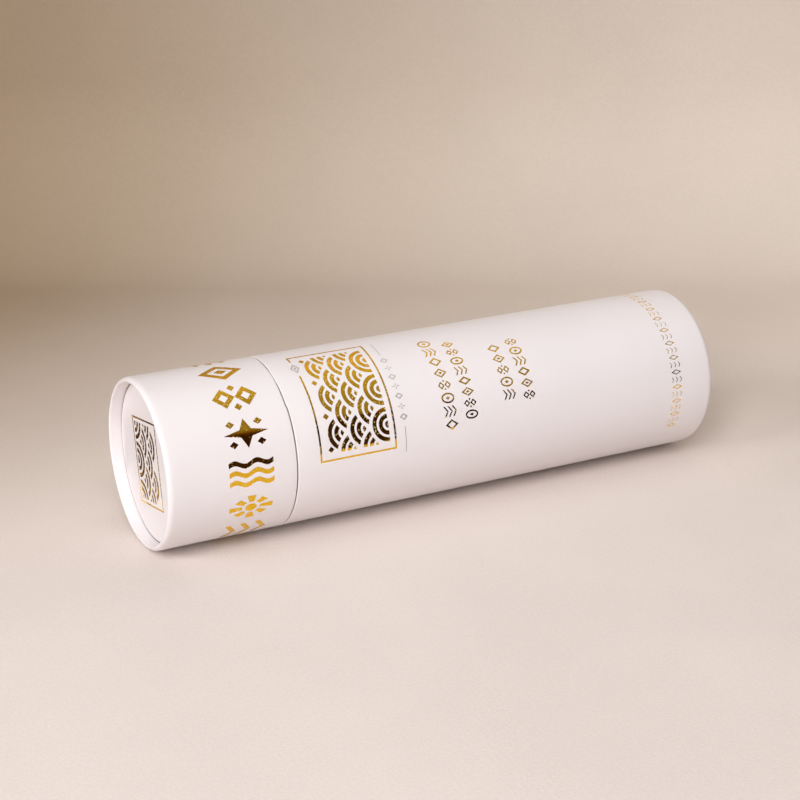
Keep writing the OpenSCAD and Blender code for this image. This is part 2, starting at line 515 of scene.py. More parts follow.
def sheet_side(length, bore, less):
    """One side of a folded tube's sheet, as (distance from the rim, r).

    It is the outside, or the side that lies on the board when less is the sheet's thickness.
    """
    rim, roll = RIM_R - less, RIM_ROLL - less
    inner, seam = RIM_IN_R - less, SEAM_R - less
    out, inn, end = TUBE_R - less, bore + less, length - less
    points = [(RIM_HEM, inn)]
    for stop in (6.3 * MM, 6.1 * MM, 5.9 * MM, 5.7 * MM):
        points += straight(points[-1], (stop, inn), 1)
    points += straight(points[-1], (less + inner, inn), 4)
    points += corner(less + inner, inn + inner, inner, 270, 180)[1:]
    points += straight(points[-1], (less, out - rim), 2)
    points += corner(less + roll, out - rim, rim, 180, 90, roll)[1:]
    points += straight(points[-1], (end - seam, out), 24)
    points += corner(end - seam, out - seam, seam, 90, 0)[1:]
    points += straight(points[-1], (end, inn + seam), 3)
    points += corner(end - seam, inn + seam, seam, 0, -90)[1:]
    points += straight(points[-1], (length - SEAM_HEM, inn), 6)
    return points


def wrap_outline(rim_x, edge_x, bore):
    """Section of the printed sheet of a folded tube, from its rim to its edge at the seam."""
    way = 1 if edge_x > rim_x else -1
    length = abs(edge_x - rim_x)
    points = sheet_side(length, bore, 0.0) + sheet_side(length, bore, WRAP_T)[::-1]
    return [(rim_x + way * x, r) for x, r in points]


def board_outline(rim_x, edge_x, bore):
    """Section of the board tube inside that sheet."""
    way = 1 if edge_x > rim_x else -1
    return [(rim_x + way * x, r) for x, r in sheet_side(abs(edge_x - rim_x), bore, WRAP_T)]


def disc_outline(rim_x, into, face, floor, covered):
    """Section of the paper over an end disc: its face, its edge and the fold behind it."""
    points = [(face, 0.0)]
    points += straight(points[-1], (face, covered - DISC_R), 10)
    points += corner(face + DISC_R, covered - DISC_R, DISC_R, 180, 90)[1:]
    points += straight(points[-1], (floor - WRAP_T, covered), 3)
    points += corner(floor - WRAP_T, covered - WRAP_T, WRAP_T, 90, 0)[1:]
    points += straight(points[-1], (floor, covered - DISC_FOLD), 3)
    points += [(floor - WRAP_T, covered - DISC_FOLD), (floor - WRAP_T, covered - WRAP_T)]
    inner = DISC_R - WRAP_T
    points += corner(face + DISC_R, covered - DISC_R, inner, 90, 180)
    points += [(face + WRAP_T, 0.0)]
    return [(rim_x + into * x, r) for x, r in points]


def neck_outline():
    """Section of the paper on the neck: its outside, over the mouth and a hem inside."""
    out, inn = radius_of("neck_paper"), radius_of("neck_paper") - 2 * NECK_PAPER_T - NECK_WALL_T
    top, end = NECK_LO.x, NECK_HI.x

    def sheet(less):
        size = MOUTH_R - less
        points = [(end, out - less)]
        for ring in (BODY_LO.x + 0.3 * MM, BODY_LO.x - 0.05 * MM, LID_HI.x - 0.3 * MM):
            points += straight(points[-1], (ring, out - less), 4)
        points += straight(points[-1], (top + less + size, out - less), 8)
        points += corner(top + less + size, out - less - size, size, 90, 180)[1:]
        points += corner(top + less + size, inn + less + size, size, 180, 270)
        points += straight(points[-1], (top + MOUTH_HEM, inn + less), 4)
        return points

    return sheet(0.0) + sheet(NECK_PAPER_T)[::-1]


def pad_outline(node, rounding=1.1 * MM, crown=0.35 * MM):
    """Section of a die-cut foam pad: soft edges and a slightly crowned free face."""
    lo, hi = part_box(node)
    radius = (hi.z - lo.z) / 2
    free, seat = (hi.x, lo.x) if lo.x < 0 else (lo.x, hi.x)
    into = 1 if free > seat else -1
    thick = abs(free - seat)
    points = [(0.0, 0.0)]
    points += straight(points[-1], (0.0, radius - rounding / 2), 6)
    points += [(rounding / 3, radius)]
    points += straight(points[-1], (thick - crown - rounding, radius), 3)
    points += corner(thick - crown - rounding, radius - rounding, rounding, 90, 0)
    points += [(thick - crown + crown * (1 - (1 - s) ** 2), (radius - rounding) * (1 - s))
               for s in (0.15, 0.3, 0.45, 0.6, 0.8, 1.0)]
    sides = [(x, r) for x, r in points]
    return [(seat + into * x, r) for x, r in sides]


# Flat print, drawn in millimetres: x along the tube and s along its round

class Print:
    """Flat print made of bands of small faces, each band between two edges that match."""

    def __init__(self):
        self.mesh = bmesh.new()

    def band(self, left, right, closed=False):
        """Faces between two lists of as many points."""
        widest = max(math.dist(a, b) for a, b in zip(left, right))
        across = max(1, math.ceil(widest * MM / PRINT_STEP))
        rows = []
        for a, b in zip(left, right):
            rows.append([self.mesh.verts.new((
                (a[0] + (b[0] - a[0]) * i / across) * MM,
                (a[1] + (b[1] - a[1]) * i / across) * MM, 0,
            )) for i in range(across + 1)])
        count = len(rows) if closed else len(rows) - 1
        for i in range(count):
            here, there = rows[i], rows[(i + 1) % len(rows)]
            for j in range(across):
                self.mesh.faces.new((here[j], here[j + 1], there[j + 1], there[j]))

    def line(self, start, end, width):
        """A straight stroke."""
        length = math.dist(start, end)
        steps = max(1, math.ceil(length * MM / PRINT_STEP))
        side = ((end[1] - start[1]) / length * width / 2, (start[0] - end[0]) / length * width / 2)
        middle = [start] + straight(start, end, steps)
        self.band([(x + side[0], s + side[1]) for x, s in middle],
                  [(x - side[0], s - side[1]) for x, s in middle])

    def frame(self, corners, width):
        """A closed frame along the corners of a convex shape; width None fills it."""
        middle = (sum(x for x, _ in corners) / len(corners), sum(s for _, s in corners) / len(corners))
        inner = [middle] * len(corners) if width is None else inset(corners, width)
        outer_line, inner_line = [], []
        for i, (a, b) in enumerate(zip(corners, corners[1:] + corners[:1])):
            c, d = inner[i], inner[(i + 1) % len(inner)]
            steps = max(1, math.ceil(math.dist(a, b) * MM / PRINT_STEP))
            outer_line += [a] + straight(a, b, steps)[:-1]
            inner_line += [c] + straight(c, d, steps)[:-1]
        self.band(outer_line, inner_line, closed=True)

    def arc(self, centre, radii, width, start, end):
        """A stroke along a part of an ellipse, angles in degrees from x."""
        steps = max(6, math.ceil(math.radians(abs(end - start)) * max(radii) * MM / PRINT_STEP))
        turn = [math.radians(start + (end - start) * i / steps) for i in range(steps + 1)]
        self.band(*[[(centre[0] + (radii[0] + w) * math.cos(a), centre[1] + (radii[1] + w) * math.sin(a))
                     for a in turn] for w in (width / 2, -width / 2)])

    def petal(self, start, end, width):
        """A leaf between two points."""
        length = math.dist(start, end)
        side = ((end[1] - start[1]) / length * width / 2, (start[0] - end[0]) / length * width / 2)
        steps = max(6, math.ceil(length * MM / PRINT_STEP))
        edges = []
        for sign in (1, -1):
            edge = []
            for i in range(steps + 1):
                t = i / steps
                swell = sign * math.sin(math.pi * t)
                edge.append((start[0] + (end[0] - start[0]) * t + side[0] * swell,
                             start[1] + (end[1] - start[1]) * t + side[1] * swell))
            edges.append(edge)
        self.band(*edges)

    def finish(self, name):
        """The print as a mesh whose faces look up."""
        bmesh.ops.remove_doubles(self.mesh, verts=self.mesh.verts, dist=1e-6)
        bmesh.ops.dissolve_degenerate(self.mesh, dist=1e-7, edges=self.mesh.edges)
        for face in self.mesh.faces:
            face.normal_update()
            if face.normal.z < 0:
                face.normal_flip()
        data = bpy.data.meshes.new(name)
        self.mesh.to_mesh(data)
        self.mesh.free()
        return data


def inset(corners, width):
    """Corners of a convex shape moved in so that each side lies width further inside."""
    middle = Vector((sum(x for x, _ in corners), sum(s for _, s in corners))) / len(corners)
    result = []
    for i, here in enumerate(corners):
        before, after = Vector(corners[i - 1]), Vector(corners[(i + 1) % len(corners)])
        here = Vector(here)
        u, v = (here - before).normalized(), (after - here).normalized()
        n, m = Vector((-u.y, u.x)), Vector((-v.y, v.x))
        if n.dot(middle - here) < 0:
            n, m = -n, -m
        way = (n + m).normalized()
        result.append(tuple(here + way * (width / max(way.dot(n), 0.2))))
    return result


def lozenge_corners(half_x, half_s, x=0.0, s=0.0):
    return [(x - half_x, s), (x, s + half_s), (x + half_x, s), (x, s - half_s)]


def box_corners(x0, x1, s0, s1, cut=0.0):
    """Corners of a rectangle, with its corners cut where cut is more than nothing."""
    if cut <= 0:
        return [(x0, s0), (x0, s1), (x1, s1), (x1, s0)]
    return [(x0, s0 + cut), (x0, s1 - cut), (x0 + cut, s1), (x1 - cut, s1),
            (x1, s1 - cut), (x1, s0 + cut), (x1 - cut, s0), (x0 + cut, s0)]


# Motifs: each draws itself about (x, s) within half_x and half_s, with a stroke

def gem(p, half_x, half_s, stroke, x=0.0, s=0.0):
    p.frame(lozenge_corners(half_x, half_s, x, s), stroke * 0.85)
    p.frame(lozenge_corners(half_x * 0.3, half_s * 0.3, x, s), None)


def open_gem(p, half_x, half_s, stroke, x=0.0, s=0.0):
    p.frame(lozenge_corners(half_x, half_s, x, s), stroke)


def twin_gems(p, half_x, half_s, stroke, x=0.0, s=0.0):
    for side in (-0.5, 0.5):
        p.frame(lozenge_corners(half_x * 0.5, half_s * 0.8, x + side * half_x, s), stroke * 0.8)
    for side in (-1, 1):
        p.frame(lozenge_corners(stroke * 0.7, stroke * 0.7, x, s + side * half_s * 0.8), None)


def ring_dot(p, half_x, half_s, stroke, x=0.0, s=0.0):
    p.arc((x, s), (half_x - stroke / 2, half_s - stroke / 2), stroke, 0, 360)
    p.frame(lozenge_corners(half_x * 0.34, half_s * 0.34, x, s), None)


def sunburst(p, half_x, half_s, stroke, x=0.0, s=0.0):
    p.frame([(x + half_x * 0.26 * math.cos(a), s + half_s * 0.32 * math.sin(a))
             for a in (math.radians(15 * i) for i in range(24))], None)
    for i in range(8):
        a = math.radians(45 * i)
        spread = math.radians(15)
        foot = [(x + half_x * 0.42 * math.cos(a + d), s + half_s * 0.48 * math.sin(a + d))
                for d in (-spread, spread)]
        reach = 1.0 if i % 2 == 0 else 0.9
        top = [(x + half_x * reach * math.cos(a + d), s + half_s * reach * math.sin(a + d))
               for d in (-spread * 0.8, spread * 0.8)]
        p.frame([foot[0], foot[1], top[1], top[0]], None)


def chevrons(p, half_x, half_s, stroke, x=0.0, s=0.0):
    deep = half_s * 0.62
    count = 3 if half_s > stroke * 2.2 else 2
    pitch = (2 * half_x - deep - stroke) / (count - 1)
    for i in range(count):
        start = x - half_x + i * pitch
        for sign in (-1, 1):
            p.frame([(start, s + sign * half_s), (start + stroke, s + sign * half_s),
                     (start + stroke + deep, s), (start + deep, s)], None)


def petals(p, half_x, half_s, stroke, x=0.0, s=0.0):
    for dx, ds in ((1, 0), (-1, 0), (0, 1), (0, -1)):
        near = 0.14
        wide = stroke * 1.7 if dx else stroke * 1.5
        p.petal((x + dx * half_x * near, s + ds * half_s * near),
                (x + dx * half_x, s + ds * half_s), wide)
    for dx, ds in ((1, 1), (-1, 1), (1, -1), (-1, -1)):
        p.frame(lozenge_corners(stroke * 0.68, stroke * 0.62, x + dx * half_x * 0.58,
                                s + ds * half_s * 0.66), None)


def waves(p, half_x, half_s, stroke, x=0.0, s=0.0):
    steps = 28
    for side in (-1, 0, 1):
        edges = []
        for edge in (-stroke * 0.42, stroke * 0.42):
            line = []
            for i in range(steps + 1):
                share = i / steps
                swing = math.sin(4 * math.pi * share) * half_s * 0.14
                line.append((x + half_x * (2 * share - 1), s + side * half_s * 0.66 + swing + edge))
            edges.append(line)
        p.band(*edges)


def star(p, half_x, half_s, stroke, x=0.0, s=0.0):
    corners = []
    for i in range(8):
        a = math.radians(45 * i)
        reach = 1.0 if i % 2 == 0 else 0.36
        corners.append((x + half_x * reach * math.cos(a), s + half_s * reach * math.sin(a)))
    p.frame(corners, None)
    for dx, ds in ((1, 1), (-1, 1), (1, -1), (-1, -1)):
        p.frame(lozenge_corners(stroke * 0.8, stroke * 0.62, x + dx * half_x * 0.62,
                                s + ds * half_s * 0.68), None)


def spark(p, half_x, half_s, stroke, x=0.0, s=0.0):
    """Four thin points round a small middle."""
    for dx, ds in ((1, 0), (0, 1), (-1, 0), (0, -1)):
        p.petal((x + dx * half_x * 0.12, s + ds * half_s * 0.12), (x + dx * half_x, s + ds * half_s),
                stroke)


BOLD = [gem, petals, chevrons, sunburst, waves, star, twin_gems]
FINE = [open_gem, chevrons, ring_dot, twin_gems, gem]


def drawn(name, motifs, half_x, half_s, stroke):
    """Meshes of one print for each motif, at one size."""
    made = []
    for i, motif in enumerate(motifs):
        p = Print()
        motif(p, half_x, half_s, stroke)
        made.append(p.finish(f"{name}_{i:02d}"))
    return made


def scales(p, box, across, dome, step, strokes):
    """Rows of nested domes that overlap like scales and look towards -x.

    box is (x0, x1, s0, s1), across the domes side by side, dome their radius, step the distance
    of the rows and strokes the (outer, inner) radii of each dome's rings.
    """
    x0, x1, s0, s1 = box
    rows = int((x1 - x0 - dome) / step) + 1
    margin = strokes[0][0] - dome
    foot = x1 - (rows - 1) * step
    middle = (s0 + s1) / 2
    for row in range(rows):
        x = foot + row * step
        odd = row % 2
        count = across + odd
        for i in range(count):
            s = middle + (i - (count - 1) / 2) * 2 * dome
            fronts = []
            for later in range(1, rows - row):
                offset = dome if later % 2 else 0.0
                for side in ((-1, 1) if later % 2 else (0,)):
                    fronts.append((x + later * step, s + side * offset))

            def clear(angle, radius):
                at = (x - radius * math.cos(angle), s + radius * math.sin(angle))
                if not (x0 <= at[0] <= x1 and s0 - 1e-6 <= at[1] <= s1 + 1e-6):
                    return False
                return all(math.dist(at, front) >= dome - margin + SCALE_GAP for front in fronts)

            for outer, inner in strokes:
                ends = []
                for radius in (outer, inner):
                    radius = max(radius, 0.02)
                    free = [d for d in range(-90, 91) if clear(math.radians(d), radius)]
                    ends.append((radius, free))
                if not (ends[0][1] and ends[1][1]):
                    continue
                steps = max(4, math.ceil(outer * math.pi / (PRINT_STEP / MM)))
                edges = []
                for radius, free in ends:
                    lo, hi = math.radians(free[0]), math.radians(free[-1])
                    edges.append([(x - radius * math.cos(lo + (hi - lo) * k / steps),
                                   s + radius * math.sin(lo + (hi - lo) * k / steps))
                                  for k in range(steps + 1)])
                p.band(*edges)


# Print laid round the tube by Geometry Nodes

def print_tree():
    """Repeats flat motifs along the round, gives them a thickness and bends them on to it."""
    tree = bpy.data.node_groups.new("print_round_tube", "GeometryNodeTree")
    face = tree.interface
    face.new_socket("Geometry", in_out="INPUT", socket_type="NodeSocketGeometry")
    for label, kind in (("Motifs", "Collection"), ("Count", "Int"), ("Station", "Float"),
                        ("First", "Float"), ("Pitch", "Float"), ("Radius", "Float"),
                        ("Axis height", "Float"), ("Thickness", "Float"), ("Finish", "Material")):
        face.new_socket(label, in_out="INPUT", socket_type="NodeSocket" + kind)
    face.new_socket("Geometry", in_out="OUTPUT", socket_type="NodeSocketGeometry")
    g = Graph(tree)
    entry = tree.nodes.new("NodeGroupInput").outputs
    leave = tree.nodes.new("NodeGroupOutput").inputs
    start = g.add("ShaderNodeCombineXYZ", {"X": entry["Station"], "Y": entry["First"]}).outputs[0]
    step = g.add("ShaderNodeCombineXYZ", {"Y": entry["Pitch"]}).outputs[0]
    line = g.add("GeometryNodeMeshLine", {
        "Count": entry["Count"], "Start Location": start, "Offset": step,
    }, mode="OFFSET").outputs[0]
    motifs = g.add("GeometryNodeCollectionInfo", {
        "Collection": entry["Motifs"], "Separate Children": True, "Reset Children": True,
    }).outputs[0]
    index = g.add("GeometryNodeInputIndex").outputs[0]
    placed = g.add("GeometryNodeInstanceOnPoints", {
        "Points": line, "Instance": motifs, "Pick Instance": True, "Instance Index": index,
    }).outputs[0]
    flat = g.add("GeometryNodeRealizeInstances", {"Geometry": placed}).outputs[0]
    raised = g.add("GeometryNodeExtrudeMesh", {
        "Mesh": flat, "Offset Scale": entry["Thickness"], "Individual": False,
    }, mode="FACES").outputs[0]
    under = g.add("GeometryNodeFlipFaces", {"Mesh": flat}).outputs[0]
    both = g.add("GeometryNodeJoinGeometry")
    g.feed(raised, both.inputs[0])
    g.feed(under, both.inputs[0])
    solid = g.add("GeometryNodeMergeByDistance", {
        "Geometry": both.outputs[0], "Distance": 1e-6,
    }).outputs[0]
    place = g.add("ShaderNodeSeparateXYZ", {"Vector": g.add("GeometryNodeInputPosition").outputs[0]})
    phi = g.math("DIVIDE", place.outputs["Y"], entry["Radius"])
    past = g.math("FLOORED_MODULO", g.math("SUBTRACT", phi, LAP_ANGLE), 2 * math.pi)
    share = g.math("SUBTRACT", 1, g.math("DIVIDE", past, LAP_WIDTH), clamp=True)
    raised_by = g.math("MULTIPLY", share, LAP_T)
    out = g.math("ADD", g.math("ADD", entry["Radius"], place.outputs["Z"]), raised_by)
    bent = g.add("ShaderNodeCombineXYZ", {
        "X": place.outputs["X"],
        "Y": g.math("MULTIPLY", g.math("MULTIPLY", out, -1), g.math("COSINE", phi)),
        "Z": g.math("ADD", entry["Axis height"], g.math("MULTIPLY", out, g.math("SINE", phi))),
    }).outputs[0]
    moved = g.add("GeometryNodeSetPosition", {"Geometry": solid, "Position": bent}).outputs[0]
    done = g.add("GeometryNodeRealizeInstances", {"Geometry": moved}).outputs[0]
    g.feed(g.add("GeometryNodeSetMaterial", {"Geometry": done, "Material": entry["Finish"]}).outputs[0],
           leave["Geometry"])
    return tree


PRINT_TREE = print_tree()


def set_inputs(modifier, values):
    """Sets a modifier's inputs by the identifiers of their sockets."""
    for item in modifier.node_group.interface.items_tree:
        if item.item_type == "SOCKET" and item.in_out == "INPUT" and item.name in values:
            modifier[item.identifier] = values[item.name]


def bent_round_tube(motifs, count, x, first, pitch, finish):
    """Mesh of motifs repeated round the tube; x, first and pitch in millimetres."""
    kept = bpy.data.collections.new("motifs")
    for mesh in motifs:
        kept.objects.link(bpy.data.objects.new(mesh.name, mesh))
    carrier = bpy.data.objects.new("print_carrier", bpy.data.meshes.new("print_carrier"))
    bpy.context.scene.collection.objects.link(carrier)
    modifier = carrier.modifiers.new("print", "NODES")
    modifier.node_group = PRINT_TREE
    set_inputs(modifier, {
        "Motifs": kept, "Count": count, "Station": station(x), "First": first * MM,
        "Pitch": pitch * MM, "Radius": TUBE_R - FOIL_SUNK, "Axis height": AXIS_Z,
        "Thickness": FOIL_T, "Finish": FINISH[finish],
    })
    ready = carrier.evaluated_get(bpy.context.evaluated_depsgraph_get())
    mesh = bpy.data.meshes.new_from_object(ready)
    bpy.data.objects.remove(carrier)
    for source in list(kept.objects):
        bpy.data.objects.remove(source)
    bpy.data.collections.remove(kept)
    return mesh


def joined(name, meshes):
    """One mesh of several."""
    whole = bmesh.new()
    for mesh in meshes:
        whole.from_mesh(mesh)
        bpy.data.meshes.remove(mesh)
    data = bpy.data.meshes.new(name)
    whole.to_mesh(data)
    whole.free()
    return data


# Papers and pads

def wrap_crevice(rim_x, edge_x, bore, face):
    """How much painted shade darkens a point of a tube's sheet: in the seam, and beside the end disc's
    edge.
    """

    def crevice(x, r):
        down = TUBE_R - r
        deep = smooth_step(down, 0.2 * MM, 0.5 * MM) * (1 - smooth_step(down, 0.7 * MM, 1.4 * MM))
        in_seam = SEAM_PAINTED_SHADE * deep if abs(x - edge_x) < 0.36 * MM else 0.0
        past_face = abs(x - rim_x) - face
        beside = r < bore + 0.01 * MM and past_face > 0 and abs(x - rim_x) < RIM_HEM
        return max(in_seam, DISC_PAINTED_SHADE * smooth_step(past_face, 0.0, 0.3 * MM) if beside else 0.0)

    return crevice


def disc_crevice(covered):
    """How much painted shade darkens a point of a disc's paper: full at its round edge."""

    def crevice(x, r):
        return DISC_PAINTED_SHADE * smooth_step(r, covered - 0.42 * MM, covered - 0.02 * MM)

    return crevice


def neck_crevice(x, r):
    """How much painted shade darkens a point of the neck: full in a narrow ring under the seam."""
    return smooth_step(SEAM_RING - abs(x - (LID_HI.x + BODY_LO.x) / 2), 0.0, 0.1 * MM)


def make_papers():
    """The printed sheets, the neck's paper and the foam pads, each in its node's place."""
    lap = (LAP_ANGLE, LAP_WIDTH, LAP_T)
    for name, node, wall, body, lining, end_paper, way in (
        ("lid_paper", "lid_wrap", "lid_wall", "lid", "lid_lining", "lid_end_paper", 1),
        ("body_paper", "body_wrap", "body_wall", "tube_body", "body_lining", "base_end_paper", -1),
    ):
        lo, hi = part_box(node)
        rim_x, edge_x = (lo.x, hi.x) if way > 0 else (hi.x, lo.x)
        bore = radius_of(lining) - WRAP_T
        end_lo, end_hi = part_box(end_paper)
        face = min(abs(end_lo.x - rim_x), abs(end_hi.x - rim_x))
        mesh = turned(name, wrap_outline(rim_x, edge_x, bore), lap,
                      inner_lap=lambda x: 1.0 if abs(x - rim_x) < RIM_HEM else 0.0,
                      shift=seam_shift(edge_x, way),
                      crevice=wrap_crevice(rim_x, edge_x, bore, face))
        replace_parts(add_piece(name, mesh, "printed_paper", body), node)
        board = name.replace("paper", "board")
        mesh = turned(board, board_outline(rim_x, edge_x, bore))
        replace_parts(add_piece(board, mesh, "board", body), wall)
    for name, node, body, rim, into in (
        ("lid_end_cover", "lid_end_paper", "lid", LID_LO.x, 1),
        ("base_end_cover", "base_end_paper", "tube_body", BODY_HI.x, -1),
    ):
        lo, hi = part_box(node)
        near, far = sorted((abs(lo.x - rim), abs(hi.x - rim)))
        covered = radius_of(node)
        mesh = turned(name, disc_outline(rim, into, near, far, covered),
                      crevice=disc_crevice(covered))
        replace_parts(add_piece(name, mesh, "printed_paper", body), node)
    mesh = turned("neck_cover", neck_outline(), crevice=neck_crevice)
    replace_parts(add_piece("neck_cover", mesh, "lining_paper", "tube_body"), "neck_paper")
    for name, node, body in (("lid_foam", "lid_pad", "lid"), ("base_foam", "base_pad", "tube_body")):
        piece = add_piece(name, turned(name, pad_outline(node)), "foam", body)
        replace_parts(piece, node)


def dress_solids():
    """Gives each solid that stays its finish."""
    slots = {part["node"]: part["material_slot"] for part in frame["record"]["subparts"]}
    for node, piece in frame["nodes"].items():
        piece.data.materials.clear()
        piece.data.materials.append(FINISH[slots[node]])


# Print

def scale_rings(dome, count, stroke, gap):
    """(outer, inner) radii of a dome's rings from the outside in, with a solid middle."""
    rings = []
    radius = dome
    for _ in range(count):
        rings.append((radius, radius - stroke))
        radius -= stroke + gap
    rings.append((radius, 0.0))
    return rings


def make_body_print():
    """Foil and ink on the body: the framed panel, two pairs of fine rows and the ring."""
    p = Print()
    x0, x1, s0, s1 = PANEL
    half = PANEL_LINE / 2
    for s in (s0 + half, s1 - half):
        p.line((x0, s), (x1, s), PANEL_LINE)
    p.line((x1 - half, s0 + PANEL_LINE), (x1 - half, s1 - PANEL_LINE), PANEL_LINE)
    p.line((x0 + half, s0 + PANEL_LINE), (x0 + half, PANEL_BREAK[0]), PANEL_LINE)
    p.line((x0 + half, PANEL_BREAK[1]), (x0 + half, s1 - PANEL_LINE), PANEL_LINE)
    inside = (x0 + 3.7, x1 - 3.4, s0 + 3.6, s1 - 3.6)
    dome = (inside[3] - inside[2]) / 6
    for notch in (-3, -1, 1, 3):
        s = (s0 + s1) / 2 + notch * dome * (0.93 if abs(notch) == 3 else 1.0)
        p.frame(lozenge_corners(1.5, 1.5, inside[0] + 1.9, s), None)
    scales(p, inside, 3, dome, dome * 0.66, scale_rings(dome - SCALE_GAP, 2, 2.0, 1.15))
    foil = [bent_round_tube([p.finish("panel_00")], 1, 0, 0, 1, "gold_foil")]
    for x, first, pitch, count, shift in (
        (140.9, 7.6, 6.3, 8, 0), (151.9, 10.7, 5.4, 8, 2),
        (173.5, 16.6, 6.1, 5, 1), (184.1, 14.8, 5.7, 6, 3),
    ):
        motifs = drawn("fine", FINE[shift:] + FINE[:shift], 3.4, pitch * 0.40, 0.8)
        foil.append(bent_round_tube(motifs, count, x, first, pitch, "gold_foil"))
    motifs = drawn("small", [open_gem, chevrons], 3.0, 1.3, 0.42)
    foil.append(bent_round_tube(motifs, 27, 269.0, -17.5, 3.7, "gold_foil"))
    add_piece("body_foil", joined("body_foil", foil), "gold_foil", "tube_body")
    p = Print()
    for s0, s1 in ((-1.0, 11.0), (49.0, 59.5)):
        p.line((116.5, s0), (116.5, s1), 0.4)
    gem(p, 2.3, 3.3, 0.75, PANEL[0] + PANEL_LINE / 2, sum(PANEL_BREAK) / 2)
    rules = bent_round_tube([p.finish("rules_00")], 1, 0, 0, 1, "silver_ink")
    beads = bent_round_tube(drawn("bead", [open_gem, spark], 2.0, 1.6, 0.46), 7, 116.6, 15.5, 4.95,
                            "silver_ink")
    add_piece("body_ink", joined("body_ink", [rules, beads]), "silver_ink", "tube_body")


def make_lid_print():
    """The bold foil band round the lid and the foil mark on its end."""
    pitch = 2 * math.pi * TUBE_R / MM / BAND_COUNT
    motifs = drawn("bold", BOLD, 10.7, 6.75, 2.7)
    band = bent_round_tube(motifs, BAND_COUNT, 39.3, 3.4 - pitch * 4, pitch, "gold_foil")
    add_piece("lid_band_foil", band, "gold_foil", "lid")
    p = Print()
    half_x, half_s = END_MARK_HALF
    p.frame(box_corners(-half_s, half_s, -half_x, half_x), 0.85)
    inside = (-half_s + 2.6, half_s - 2.3, -half_x + 2.4, half_x - 2.4)
    dome = (inside[3] - inside[2]) / 4
    scales(p, inside, 2, dome, dome * 0.6, scale_rings(dome - SCALE_GAP, 2, 1.9, 1.3))
    flat = p.finish("lid_end_foil")
    shape = bmesh.new()
    shape.from_mesh(flat)
    made = bmesh.ops.extrude_face_region(shape, geom=list(shape.faces), use_keep_orig=True)
    tops = [v for v in made["geom"] if isinstance(v, bmesh.types.BMVert)]
    bmesh.ops.translate(shape, verts=tops, vec=(0, 0, FOIL_T))
    turn = math.radians(END_MARK_TURN)
    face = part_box("lid_end_paper")[0].x
    for v in shape.verts:
        down, along, rise = v.co.x, v.co.y, v.co.z
        v.co = (face + FOIL_SUNK - rise,
                END_MARK_Y * MM + along * math.sin(turn) + down * math.cos(turn),
                AXIS_Z + END_MARK_Z * MM + along * math.cos(turn) - down * math.sin(turn))
    bmesh.ops.recalc_face_normals(shape, faces=shape.faces)
    shape.to_mesh(flat)
    shape.free()
    add_piece("lid_end_foil", flat, "gold_foil", "lid")


# Stage, light and camera

CAMERA_AT = Vector((-0.38681, -0.71681, 0.35187))
CAMERA_WAY = Vector((0.43443, 0.82922, -0.35167))
LENS = 80.6
SWEEP_TURN = math.atan2(CAMERA_WAY.x, CAMERA_WAY.y)
AHEAD = Vector((math.sin(SWEEP_TURN), math.cos(SWEEP_TURN), 0))
ASIDE = Vector((AHEAD.y, -AHEAD.x, 0))
SWEEP_FRONT, SWEEP_BACK, SWEEP_HALF = -6.0, 0.33, 4.0
COVE_R, WALL_TOP = 0.12, 1.6

# Dark cards, which only glossy surfaces see, for painted reflections in the foil and the paper: (middle,
# half width, bottom and top, both faded)
CARDS = {
    "card_front": ((-0.30, 0.0), 1.0, (-0.02, -0.01), (0.305, 0.38)),
    "card_end": ((-0.035, -0.158), 0.022, (-0.03, 0.03), (0.048, 0.058)),
}

# Lamps: place, size, watts, colour
LAMPS = {
    "front_floor": ((-1.52, -1.52, 0.40), 0.6, 7.0, (1.0, 1.0, 1.0)),
    "front_low": ((-1.43, -1.43, 0.95), 0.6, 8.6, (1.0, 1.0, 1.0)),
    "front_mid": ((-1.32, -1.32, 1.17), 0.6, 4.8, (1.0, 1.0, 1.0)),
    "front_high": ((-1.03, -1.03, 1.66), 0.6, 10.2, (1.0, 1.0, 1.0)),
    "left": ((-1.72, -0.30, 1.00), 0.6, 11.5, (1.0, 1.0, 1.0)),
    "near": ((-0.48, -1.37, 1.66), 0.6, 8.3, (1.0, 1.0, 1.0)),
    "over": ((0.14, 0.05, 0.90), 0.5, 0.85, (1.0, 1.0, 1.0)),
}
SURROUND = (1.0, 0.89, 0.77, 1)
SURROUND_LEVEL = 0.11

# Glowing arch that glossy surfaces alone see, a painted reflection of pale light: (degrees up from the
# front, its brightness)
ARCH = [(0, 0.19), (33, 0.26), (47, 0.29), (71, 0.33), (83, 0.40), (95, 0.50), (106, 0.62), (125, 0.34)]
ARCH_R, ARCH_HALF = 1.25, 2.4
ARCH_TONE = (1.0, 0.90, 0.86, 1)


